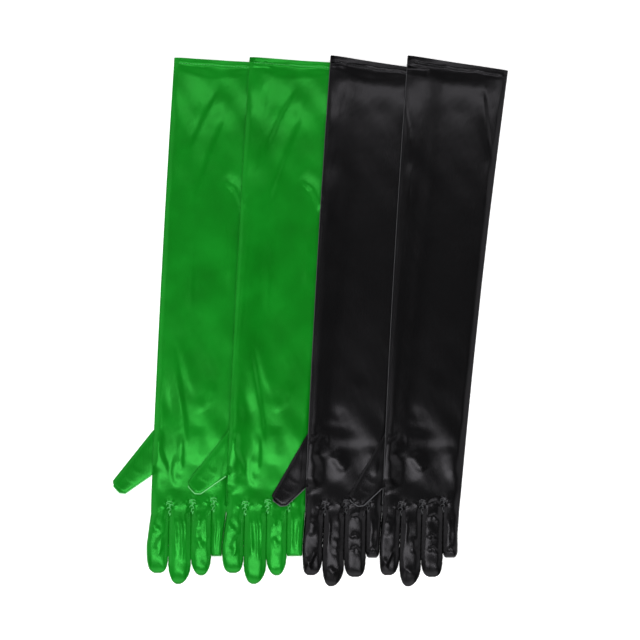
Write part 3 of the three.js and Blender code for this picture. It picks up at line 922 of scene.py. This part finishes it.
def twisted(name, colour):
    """Twisted sewing thread; also the thumb's piping, whose light colour is a painted highlight."""
    material, tree, shader = new_material(name)
    link = tree.links.new
    place = add_node(tree, "ShaderNodeTexCoord", (-800, 0))
    twist = add_node(tree, "ShaderNodeTexWave", (-600, 0), Scale=900.0, Distortion=1.5)
    twist.bands_direction = "DIAGONAL"
    link(place.outputs["Object"], twist.inputs["Vector"])
    dark = tuple(0.6 * c for c in colour)
    shade = ramp(tree, (-400, 0), [(0.0, dark), (1.0, colour)])
    link(twist.outputs["Fac"], shade.inputs["Fac"])
    link(shade.outputs["Color"], shader.inputs["Base Color"])
    bump = add_node(tree, "ShaderNodeBump", (-300, 250), Strength=0.5, Distance=0.0001)
    link(twist.outputs["Fac"], bump.inputs["Height"])
    link(bump.outputs["Normal"], shader.inputs["Normal"])
    set_inputs(shader, Roughness=0.45)
    return material


SATIN = {
    "green": satin(
        "green_satin_cloth",
        dark=(0.0012, 0.15, 0.004),
        mid=(0.0019, 0.185, 0.0062),
        light=(0.0042, 0.235, 0.011),
        roughness=0.28,
        gloss=0.9,
        gleam=(0.12, 1.0, 0.16),
        flecks=0.0,
    ),
    "black": satin(
        "black_satin_cloth",
        dark=(0.0012, 0.0012, 0.0013),
        mid=(0.0016, 0.0016, 0.0017),
        light=(0.0028, 0.0028, 0.003),
        roughness=0.27,
        gloss=0.2,
        gleam=(0.96, 0.93, 1.0),
        flecks=0.6,
    ),
}
THREAD = {
    "green": twisted("green_thread", (0.1, 0.7, 0.15)),
    "black": twisted("black_thread", (0.045, 0.045, 0.05)),
}
# The thumb's piping is coloured far lighter than the satin: a painted highlight along its lower
# edge and tip.
PAINTED_HIGHLIGHT_PIPING = {
    "green": twisted("green_piping", (0.24, 0.92, 0.3)),
    "black": twisted("black_piping", (0.1, 0.1, 0.11)),
}


# ---- Putting one glove together ----

# Radii of the rounded seams.
SIDE_SEAM, TIP_SEAM, THUMB_PIPING, THUMB_SEAM = 0.42, 0.4, 0.6, 0.3
# Rows of stitches: pitch, length, radius of the thread, and height of the arch.
FINGER_STITCHES = (2.4, 1.3, 0.17, 0.12)
CUFF_STITCHES = (3.0, 2.3, 0.3, 0.15)
CUFF_UNDER_STITCHES = (3.2, 2.1, 0.12, 0.0)
SEWN_TIP = 6  # rows of the tip that the seam round a finger or thumb leaves out

# The loops of a crotch's gathers: middle across and up, half sizes, and the turn where each begins
# and ends.
LOOPS = [
    (0.2, 7.6, 3.3, 1.8, 10, 215),
    (-1.3, 4.8, 2.4, 2.3, -70, 170),
    (1.9, 3.6, 2.3, 2.5, 20, 250),
    (-0.9, 0.6, 2.2, 2.0, -40, 190),
    (0.9, -2.8, 1.9, 2.6, 60, 290),
    (1.3, -6.0, 1.3, 2.4, 80, 200),
]
LOOP_POINTS = 15
LOOP_RADIUS = 0.26  # at its ends, and twice that in the middle
# Rows of the hand and of each finger that the gathers can lie on.
HAND_NEAR, FINGER_NEAR = 14, 10


def place_piece(piece, glove, body=None, start=None, end=None, replaces=()):
    """Lets a piece ride on the hand, or bakes its transform when it belongs to a digit, and hides
    the CAD parts that it replaces.
    """
    if body:
        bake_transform(piece)
        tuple(start)
        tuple(end)
    else:
        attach(piece, glove.hand)
    if replaces:
        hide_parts(*replaces)


def two_sides(glove, body, back, palm, bend, before=(None, None)):
    """The back and palm cloth of a finger or thumb."""
    pieces = []
    for side, grid, up, row in (("back", back, 1, before[0]), ("palm", palm, -1, before[1])):
        piece = cloth(f"{body}_{side}_cloth", grid, (0, 0, up), SATIN[glove.colour], row)
        place_piece(piece, glove, **bend, replaces=[f"{body}_{side}"])
        pieces.append(piece)
    return pieces


def declare(piece, grid, rests_on):
    """Works out the width, length and area of a piece of cloth from its grid."""
    width = np.linalg.norm(np.diff(grid, axis=1), axis=2).sum(axis=1).max() * MM
    length = np.linalg.norm(np.diff(grid, axis=0), axis=2).sum(axis=0).max() * MM
    falling, rising = grid[1:, 1:] - grid[:-1, :-1], grid[1:, :-1] - grid[:-1, 1:]
    area = np.linalg.norm(np.cross(falling, rising), axis=2).sum() / 2 * MM**2
    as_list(rests_on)


def finger_columns():
    """Each finger with the columns of the hand that it carries on from."""
    column = 0
    for finger in FINGERS:
        yield finger, slice(column, column + COLUMNS[finger] + 1)
        column += COLUMNS[finger]


def build_finger(glove, finger, grids, back_rows, palm_rows):
    """One finger's strips, fourchettes and seams. The hand's first two rows lie next to it."""
    material, sewing = SATIN[glove.colour], THREAD[glove.colour]
    body = f"{glove.name}_{finger}"
    back, palm, outer_left, outer_right = grids
    root = back_rows[0].mean(axis=0)
    start, end = Vector(root * MM), Vector((root + [0, -FINGER_BEND, 0]) * MM)
    bend = dict(body=body, start=start, end=end)
    top, under = two_sides(glove, body, back, palm, bend, (back_rows[1], palm_rows[1]))

    seams = []
    i = FINGERS.index(finger)
    for side, neighbour, outer, label in (
        (-1, i - 1, outer_left, "left"),
        (1, i + 1, outer_right, "right"),
    ):
        if not 0 <= neighbour < len(FINGERS):
            continue
        wall = fourchette_grid(back, palm, outer, side)
        piece = cloth(f"{body}_fourchette_{label}", wall, (side, 0, 0), material)
        crotch = f"{glove.name}_fourchette_{finger}_{FINGERS[neighbour]}"
        place_piece(piece, glove, **bend, replaces=[crotch] if side > 0 else ())
        edge = back[2:-SEWN_TIP, 0 if side < 0 else -1] + [-side * 0.7, 0, 0.1]
        seams += stitch_row(edge, *FINGER_STITCHES)
    stitches = joined(f"{body}_stitches", seams, sewing)
    tip_seam = joined(f"{body}_tip_seam", [tube(back[-1] + [0, 0.1, 0], TIP_SEAM)], material)
    for piece in (stitches, tip_seam):
        place_piece(piece, glove, **bend)
    declare(top, back, [under])
    declare(under, palm, [])


def build_thumb(glove, back, palm, middle, lies_on):
    """The thumb's cloth, the piping round its lower edge and tip, whose light colour is a painted
    highlight, and the seam along the upper.
    """
    opening = glove.thumb_high - glove.thumb_low
    outward = np.array([-opening[1], opening[0]]) / np.linalg.norm(opening)
    height = back[TUCK_ROWS - 1, :, 2].mean()
    start = Vector((*(middle + outward), height)) * MM
    end = Vector((*(middle + outward * THUMB_BEND), height)) * MM
    body = f"{glove.name}_thumb"
    bend = dict(body=body, start=start, end=end)
    top, under = two_sides(glove, body, back, palm, bend)

    outside = TUCK_ROWS + 1
    line = np.concatenate([back[outside:, 0], back[-1, 1:], back[: -SEWN_TIP - 1 : -1, -1]])
    # The piping's light colour is a painted highlight on the seam edge.
    painted_highlight_piping = tube(line + [-0.1, -0.2, 0.1], THUMB_PIPING)
    painted_highlight_piping = joined(f"{body}_piping", [painted_highlight_piping], PAINTED_HIGHLIGHT_PIPING[glove.colour])
    place_piece(painted_highlight_piping, glove, **bend)
    upper_seam = tube(back[outside:-SEWN_TIP, -1] + [0, 0, -0.15], THUMB_SEAM)
    upper_seam = joined(f"{body}_seam", [upper_seam], SATIN[glove.colour])
    place_piece(upper_seam, glove, **bend)
    declare(top, back, [under])
    declare(under, palm, lies_on)


def blurred(values):
    """A moving average over five values."""
    padded = np.pad(values, 2, mode="edge")
    return sum(padded[k : k + len(values)] for k in range(5)) / 5


def gathers(mark, surface):
    """The puckered loops of cloth where two fingers part, lying on the points of a surface."""
    parts = []
    for across, up, half_x, half_y, first, last in LOOPS:
        turn = np.radians(np.linspace(first, last, LOOP_POINTS))
        arch = np.sin(np.linspace(0, math.pi, LOOP_POINTS))
        x = mark[0] + across + half_x * np.cos(turn)
        y = mark[1] + up + half_y * np.sin(turn)
        away = np.hypot(surface[:, 0] - x[:, None], surface[:, 1] - y[:, None])
        z = blurred(surface[away.argmin(axis=1), 2]) + 0.1 + 0.35 * arch
        parts.append(tube(np.stack([x, y, z], axis=1), LOOP_RADIUS * (1 + arch), 8))
    return parts


def build_trim(glove, back, palm, finger_backs):
    """The side seams, hem stitches and gathers, which ride on the hand."""
    name = glove.name
    material, sewing = SATIN[glove.colour], THREAD[glove.colour]
    inset = np.array([0.3, 0, 0])
    seams = [tube(back[::2, 0] + inset, SIDE_SEAM), tube(back[::2, -1] - inset, SIDE_SEAM)]
    edging = sewing if glove.colour == "black" else material
    side_seams = joined(f"{name}_side_seams", seams, edging)

    from_cuff = (1 - row_shares(glove.length)) * glove.length
    hem_row = np.argmin(np.abs(from_cuff - HEM[glove.colour]))
    stitches = stitch_row(back[hem_row, 3:-3] + [0, -0.4, 0.15], *CUFF_STITCHES)
    stitches += stitch_row(palm[hem_row, 6:-6], *CUFF_UNDER_STITCHES)
    cuff_stitches = joined(f"{name}_cuff_stitches", stitches, sewing)

    near = [back[:HAND_NEAR], *(grid[:FINGER_NEAR] for grid in finger_backs)]
    near = np.concatenate([grid.reshape(-1, 3) for grid in near])
    loops = []
    for finger, columns in list(finger_columns())[:-1]:
        loops += gathers(back[0, columns.stop - 1], near)
    crotch_gathers = joined(f"{name}_crotch_gathers", loops, sewing)
    trim = [side_seams, cuff_stitches, crotch_gathers]
    for piece in trim:
        place_piece(piece, glove)
    return trim


def build_glove(glove, below):
    """All pieces of one glove. below names the glove that it lies on."""
    name, material = glove.name, SATIN[glove.colour]
    lies_on = [f"{below}_hand_back"] if below else []
    thumb = thumb_grids(glove)
    back, palm = arm_panels(glove)
    digits = {
        finger: finger_grids(glove, finger, back[0, columns], palm[0, columns])
        for finger, columns in finger_columns()
    }

    def beyond(layer):
        """The fingers' second row of points, which the hand's cloth carries on into."""
        row = [digits[finger][layer][1, :-1] for finger in FINGERS]
        return np.concatenate([*row, digits[FINGERS[-1]][layer][1, -1:]])

    hand_back = cloth(f"{name}_hand_back", back, (0, 0, 1), material, before=beyond(0))
    place_piece(hand_back, glove, replaces=[f"{name}_back_panel"])
    hand_palm = cloth(f"{name}_hand_palm", palm, (0, 0, -1), material, before=beyond(1))
    place_piece(hand_palm, glove, replaces=[f"{name}_palm_panel"])
    for finger, columns in finger_columns():
        build_finger(glove, finger, digits[finger], back[:2, columns], palm[:2, columns])
    build_thumb(glove, *thumb, lies_on)
    trim = build_trim(glove, back, palm, [grids[0] for grids in digits.values()])
    declare(hand_back, back, [hand_palm])
    declare(hand_palm, palm, lies_on)
    lay_on_ground(back)


gloves = [Glove(name) for name in GLOVES]
for glove, neighbour in zip(gloves, gloves[1:]):
    glove.neighbour = neighbour
for glove, below in zip(gloves, [None, *GLOVES]):
    build_glove(glove, below)


# ---- Floor, light and camera ----

FLOOR_HALF, FLOOR_DROP = 4, 0.0004  # metres
floor_material, _, floor_shader = new_material("floor")
set_inputs(
    floor_shader,
    Base_Color=(0.93, 0.93, 0.93, 1),
    Roughness=0.9,
    Specular_IOR_Level=0.1,
    Emission_Color=(1, 1, 1, 1),
    Emission_Strength=0.6,
)
floor_mesh = bpy.data.meshes.new("floor")
corners = [(-1, -1), (1, -1), (1, 1), (-1, 1)]
corners = [(FLOOR_HALF * x, FLOOR_HALF * y, -FLOOR_DROP) for x, y in corners]
floor_mesh.from_pydata(corners, [], [(0, 1, 2, 3)])
floor_mesh.materials.append(floor_material)
add_object("floor", floor_mesh)


def softbox(name, at, size, power):
    """A studio lamp that faces the middle of the gloves. Places and sizes are in metres."""
    light = bpy.data.lights.new(name, "AREA")
    light.shape = "RECTANGLE"
    light.size, light.size_y = size
    light.energy = power
    lamp = add_object(name, light)
    lamp.location = at
    lamp.rotation_euler = (-Vector(at)).to_track_quat("-Z", "Y").to_euler()


softbox("top", (0.05, 0.76, 1.7), (1.6, 0.3), 8.8)
softbox("low", (-0.24, -0.64, 1.75), (1.1, 0.42), 13.5)
softbox("right", (1.5, 0.1, 1.1), (1.4, 1.4), 9)
softbox("left", (-1.5, 0.1, 1.1), (1.4, 1.4), 9)
softbox("front", (-0.2, -1.6, 0.9), (1.6, 0.9), 11)

world = bpy.data.worlds.new("studio")
world.use_nodes = True
set_inputs(world.node_tree.nodes["Background"], Color=(1, 1, 1, 1), Strength=0.04)
bpy.context.scene.world = world
bpy.context.scene.view_settings.view_transform = "Standard"

# The camera looks straight down.
FRAME_WIDTH = 0.7053  # metres
CAMERA_AT = (0.0105, 0.0011)
camera_data = bpy.data.cameras.new("camera")
camera_data.lens = 100
camera_data.sensor_width = 36
camera = add_object("camera", camera_data)
camera.location = (*CAMERA_AT, FRAME_WIDTH * camera_data.lens / camera_data.sensor_width)
bpy.context.scene.camera = camera
